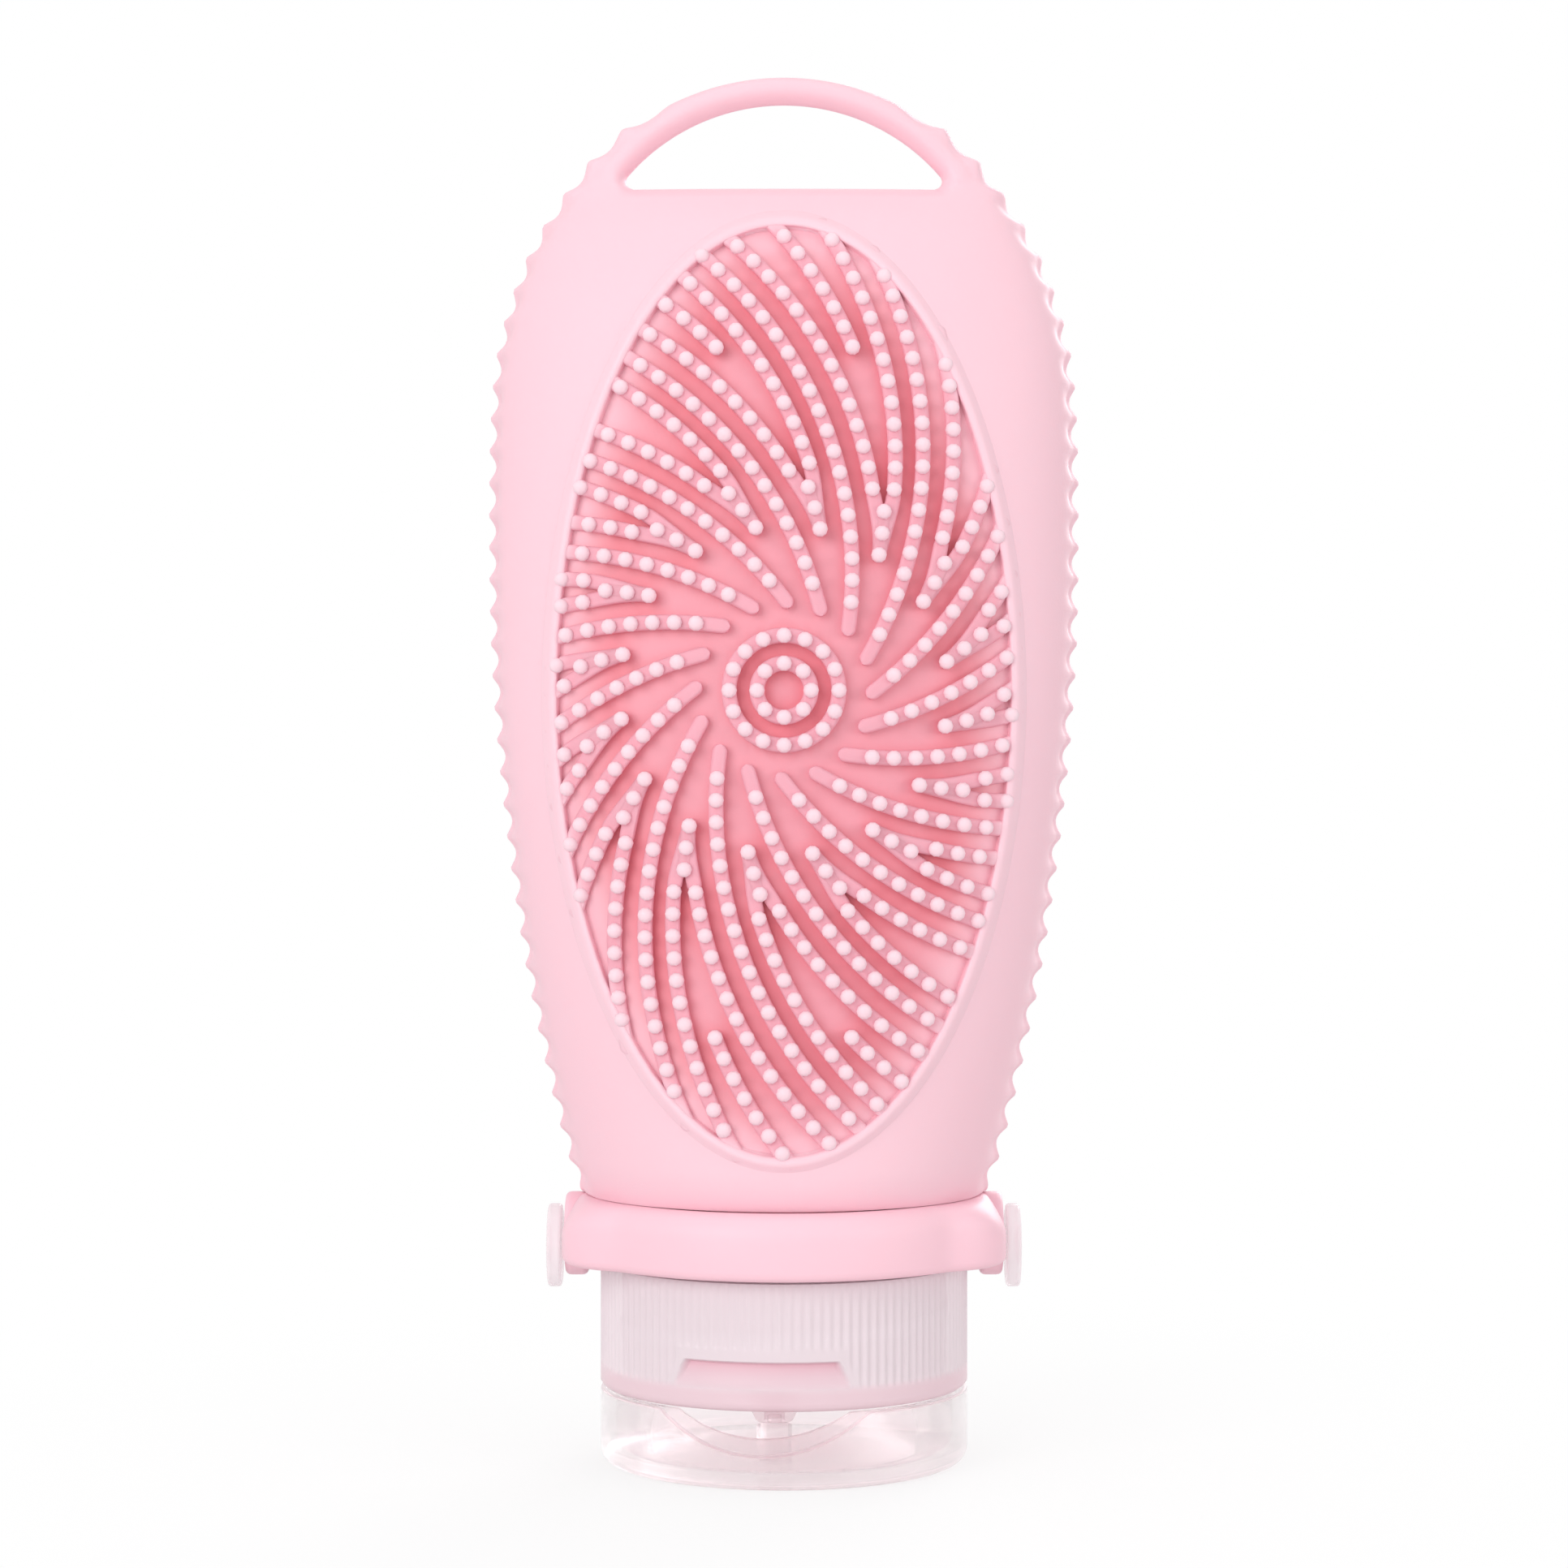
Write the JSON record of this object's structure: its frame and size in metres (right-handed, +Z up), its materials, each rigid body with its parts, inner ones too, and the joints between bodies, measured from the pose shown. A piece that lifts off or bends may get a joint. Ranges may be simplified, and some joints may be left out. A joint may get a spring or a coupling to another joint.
{
  "type": "squeeze dispenser bottle",
  "caption": "Soft squeeze bottle with a scrubbing pad on its front, scalloped edges, a hanging loop, a neck collar and a screw cap with a flip lid, on which it stands.",
  "frame": {"origin": "centre of the flat outside of the flip lid, on which the bottle stands", "axes": "+Z up through the neck and the flask to the hanging loop, +X along the bottle's width to the right-hand stud, and the brush pad and the thumb notch face -Y"},
  "size_m": [0.0642, 0.0456, 0.15],
  "materials": {
    "silicone": "satin pale pink silicone",
    "bristle_silicone": "satin pink silicone with lighter tips",
    "neck_plastic": "frosted translucent plastic",
    "collar_plastic": "satin pale pink plastic",
    "clear_plastic": "clear plastic",
    "seal_rubber": "matt white seal",
    "frosted_plastic": "frosted translucent plastic",
    "valve_silicone": "satin pink silicone"
  },
  "bodies": {
    "bottle": {"silicone_body": "silicone", "brush_pad": "bristle_silicone", "neck_insert": "neck_plastic", "neck_collar": "collar_plastic"},
    "stud_left": {"side_stud_left": "clear_plastic"},
    "stud_right": {"side_stud_right": "clear_plastic"},
    "seal": {"seal_ring": "seal_rubber"},
    "cap": {"cap_base": "frosted_plastic", "dosing_valve": "valve_silicone", "valve_retainer": "neck_plastic"},
    "lid": {"cap_lid": "clear_plastic"}
  },
  "joints": [
    {"name": "cap_lift", "type": "slide", "parent": "bottle", "child": "seal", "axis": [0, 0, -1], "range_m": [0, 0.006]},
    {"name": "cap_turn", "type": "hinge", "parent": "seal", "child": "cap", "pos_m": [0, 0, 0.015], "axis": [0, 0, -1], "range_deg": [0, 540]},
    {"name": "lid_hinge", "type": "hinge", "parent": "cap", "child": "lid", "pos_m": [0.00266, 0.02073, 0.00815], "axis": [0.9919, -0.1271, 0], "range_deg": [0, 130]},
    {"name": "stud_left_spin", "type": "hinge", "parent": "bottle", "child": "stud_left", "pos_m": [-0.0246, 0, 0.0231], "axis": [-1, 0, 0], "continuous": true},
    {"name": "stud_right_spin", "type": "hinge", "parent": "bottle", "child": "stud_right", "pos_m": [0.0246, 0, 0.0231], "axis": [1, 0, 0], "continuous": true}
  ],
  "couplings": [
    {"joint": "cap_turn", "follows": "cap_lift", "rad_per_m": 1570.8}
  ]
}
